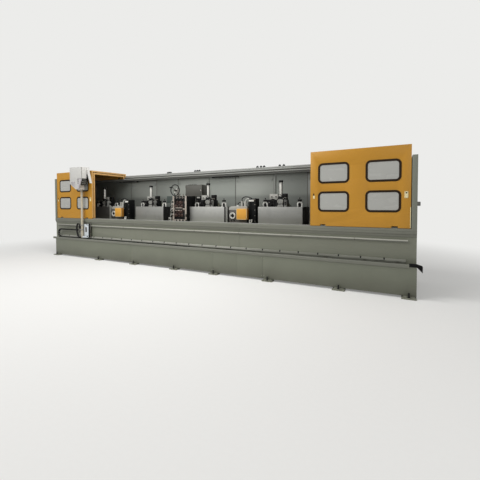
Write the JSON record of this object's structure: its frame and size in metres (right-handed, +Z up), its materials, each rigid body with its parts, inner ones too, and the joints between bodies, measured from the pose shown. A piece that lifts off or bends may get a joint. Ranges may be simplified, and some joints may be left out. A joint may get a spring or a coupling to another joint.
{
  "type": "five-block wire rolling line",
  "caption": "Long guarded bed with rolling stands in line, sliding windowed hoods and a travelling console.",
  "frame": {"origin": "on the floor under the middle of the machine", "axes": "+X along the line to the right, +Y to the back, +Z up"},
  "size_m": [8.75, 1.47, 2.272],
  "materials": {
    "bed_paint": "satin grey-green paint",
    "wall_paint": "satin grey paint",
    "rail_steel": "drawn bar, worn bright",
    "tray_paint": "satin grey-green paint, worn on the lip",
    "foot_steel": "painted plate, dusty",
    "guard_amber": "amber powder coat",
    "hood_ochre": "ochre powder coat",
    "window_pane": "milky sheet in a black rubber seal",
    "hood_hardware": "black rollers and pale flush pulls",
    "dark_casting": "dark oily casting",
    "stainless": "brushed stainless sheet",
    "bright_steel": "machined steel",
    "white_enamel": "white enamel",
    "black_moulding": "black moulding",
    "gear_grey": "light grey paint",
    "roll_copper": "copper-brown tool steel, oiled",
    "box_grey": "dark grey paint",
    "lamp_black": "black",
    "chain_black": "black links",
    "console_paint": "light grey powder coat",
    "post_paint": "cream paint"
  },
  "bodies": {
    "bed": {"plinth_sections": "bed_paint", "table_sections": "bed_paint", "levelling_feet": "foot_steel", "tray_floor": "tray_paint", "tray_lip": "tray_paint", "carriage_rails": "rail_steel", "hood_tracks": "rail_steel", "rear_wall": "wall_paint", "rear_beam": "wall_paint", "access_panels": "wall_paint", "end_frames": "wall_paint", "wire_nozzles": "bright_steel", "work_lamps": "lamp_black", "junction_box": "box_grey", "block_stands": "dark_casting", "roll_chocks": "bright_steel", "block_rolls": "bright_steel", "block_covers": "stainless", "supply_columns": "bright_steel", "screwdown_cylinders": "white_enamel", "cylinder_ends": "black_moulding", "block_gearboxes": "gear_grey", "block_motors": "gear_grey", "guide_brackets": "white_enamel", "guide_knobs": "black_moulding", "edger_bodies": "dark_casting", "edger_tops": "gear_grey", "edger_posts": "gear_grey", "edger_guards": "guard_amber", "edger_dials": "white_enamel", "straightener_frame": "bright_steel", "straightener_rolls": "roll_copper", "straightener_drive": "dark_casting", "straightener_spindle": "box_grey", "drag_chain": "chain_black", "drain_spout": "lamp_black"},
    "handwheel": {"handwheel": "black_moulding"},
    "console": {"console_carriage": "console_paint", "console_post": "post_paint", "console_head": "console_paint", "console_panel": "black_moulding"},
    "left_outer_hood": {"left_outer_shell": "hood_ochre", "left_outer_windows": "window_pane", "left_outer_fittings": "hood_hardware"},
    "left_inner_hood": {"left_inner_shell": "hood_ochre", "left_inner_windows": "window_pane", "left_inner_fittings": "hood_hardware"},
    "right_outer_hood": {"right_outer_shell": "hood_ochre", "right_outer_windows": "window_pane", "right_outer_fittings": "hood_hardware"},
    "right_inner_hood": {"right_inner_shell": "hood_ochre", "right_inner_windows": "window_pane", "right_inner_fittings": "hood_hardware"}
  },
  "joints": [
    {"name": "wheel_turn", "type": "hinge", "parent": "bed", "child": "handwheel", "pos_m": [-0.393, -0.12, 1.668], "axis": [0, 1, 0], "continuous": true},
    {"name": "console_slide", "type": "slide", "parent": "bed", "child": "console", "axis": [1, 0, 0], "range_m": [0, 6.95]},
    {"name": "left_outer_slide", "type": "slide", "parent": "bed", "child": "left_outer_hood", "axis": [1, 0, 0], "range_m": [0, 2.759]},
    {"name": "left_inner_slide", "type": "slide", "parent": "bed", "child": "left_inner_hood", "axis": [1, 0, 0], "range_m": [0, 2.759]},
    {"name": "right_outer_slide", "type": "slide", "parent": "bed", "child": "right_outer_hood", "axis": [-1, 0, 0], "range_m": [0, 2.759]},
    {"name": "right_inner_slide", "type": "slide", "parent": "bed", "child": "right_inner_hood", "axis": [-1, 0, 0], "range_m": [0, 2.759]}
  ]
}
